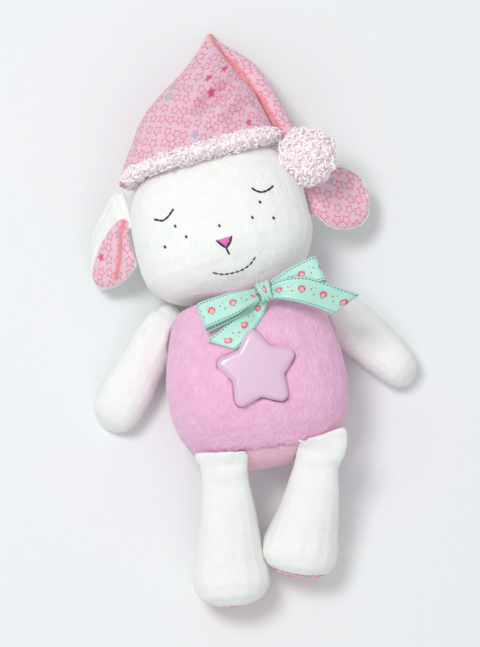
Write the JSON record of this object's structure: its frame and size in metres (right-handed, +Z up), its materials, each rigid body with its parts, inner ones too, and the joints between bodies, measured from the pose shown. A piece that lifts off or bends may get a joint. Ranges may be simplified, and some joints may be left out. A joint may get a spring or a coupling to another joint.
{
  "type": "plush lamb doll",
  "caption": "Plush lamb doll lying on its back, with a night cap, a ribbon bow and a star-shaped light button in its belly.",
  "frame": {"origin": "centre of the flat on which the doll's back rests", "axes": "+X across the doll, to the right in the picture; +Y towards its head and cap; +Z up from the floor through its belly"},
  "size_m": [0.1846, 0.3202, 0.0823],
  "materials": {
    "pink_plush": "soft cloth",
    "seat_plush": "soft cloth",
    "white_plush": "soft cloth",
    "star_print": "soft cloth",
    "fluffy_trim": "soft cloth",
    "satin_ribbon": "soft cloth",
    "filling": "soft cloth",
    "closure_tape": "soft cloth",
    "star_plastic": "glossy moulded plastic",
    "case_plastic": "satin moulded plastic",
    "dark_plastic": "satin moulded plastic",
    "board": "satin moulded plastic",
    "clear_plastic": "glossy moulded plastic",
    "steel": "plated steel"
  },
  "bodies": {
    "torso": {"body_cover": "pink_plush", "bottom_panel": "seat_plush", "neckband": "satin_ribbon", "bow_knot": "satin_ribbon", "bow_loop_left": "satin_ribbon", "bow_loop_right": "satin_ribbon", "bow_tail_left": "satin_ribbon", "bow_tail_right": "satin_ribbon", "body_stuffing": "filling", "hook_tape": "closure_tape", "loop_tape": "closure_tape", "module_front_shell": "case_plastic", "module_rear_shell": "case_plastic", "battery_door": "case_plastic", "push_switch": "dark_plastic", "circuit_board": "board", "led_1": "clear_plastic", "led_2": "clear_plastic", "led_3": "clear_plastic", "door_screw": "steel", "housing_screw_1": "steel", "housing_screw_2": "steel", "housing_screw_3": "steel", "cell_1": "steel", "cell_2": "steel", "cell_3": "steel", "contact_plate": "steel", "return_spring": "steel"},
    "head": {"head": "white_plush", "cap_cone": "star_print", "cap_band": "fluffy_trim"},
    "star_button": {"star_lens": "star_plastic"},
    "cap_tip": {"cap_tip": "star_print", "pompom": "fluffy_trim"},
    "ear_left": {"ear_left_outer": "white_plush", "ear_left_lining": "star_print"},
    "ear_right": {"ear_right_outer": "white_plush", "ear_right_lining": "star_print"},
    "arm_left": {"arm_left": "white_plush"},
    "arm_right": {"arm_right": "white_plush"},
    "leg_left": {"leg_left": "white_plush", "sole_left": "star_print"},
    "leg_right": {"leg_right": "white_plush", "sole_right": "star_print"}
  },
  "joints": [
    {"name": "star_press", "type": "slide", "parent": "torso", "child": "star_button", "axis": [0, 0, -1], "range_m": [0, 0.0015], "stiffness_N_per_m": 500, "springref_m": -0.001, "deforming": ["return_spring"]},
    {"name": "head_turn", "type": "hinge", "parent": "torso", "child": "head", "pos_m": [-0.00917, 0.04901, 0.0375], "axis": [-0.284, 0.9588, 0], "range_deg": [-20, 20]},
    {"name": "arm_left_swing", "type": "hinge", "parent": "torso", "child": "arm_left", "pos_m": [-0.0465, 0.037, 0.017], "axis": [0, 0, -1], "range_deg": [0, 45]},
    {"name": "arm_right_swing", "type": "hinge", "parent": "torso", "child": "arm_right", "pos_m": [0.0402, 0.0432, 0.017], "axis": [0, 0, 1], "range_deg": [0, 40]},
    {"name": "leg_left_lift", "type": "hinge", "parent": "torso", "child": "leg_left", "pos_m": [-0.0192, -0.0376, 0.057], "axis": [-0.9968, -0.0802, 0], "range_deg": [0, 80]},
    {"name": "leg_right_lift", "type": "hinge", "parent": "torso", "child": "leg_right", "pos_m": [0.033, -0.0295, 0.057], "axis": [-0.9877, 0.1564, 0], "range_deg": [0, 80]},
    {"name": "ear_left_flop", "type": "hinge", "parent": "head", "child": "ear_left", "pos_m": [-0.07345, 0.10193, 0.037], "axis": [-0.284, 0.9588, 0], "range_deg": [0, 60]},
    {"name": "ear_right_flop", "type": "hinge", "parent": "head", "child": "ear_right", "pos_m": [0.02405, 0.1136, 0.035], "axis": [0.284, -0.9588, 0], "range_deg": [0, 20]},
    {"name": "cap_tip_swing", "type": "hinge", "parent": "head", "child": "cap_tip", "pos_m": [-0.02303, 0.19509, 0.011], "axis": [0, 0, 1], "range_deg": [0, 80]}
  ]
}
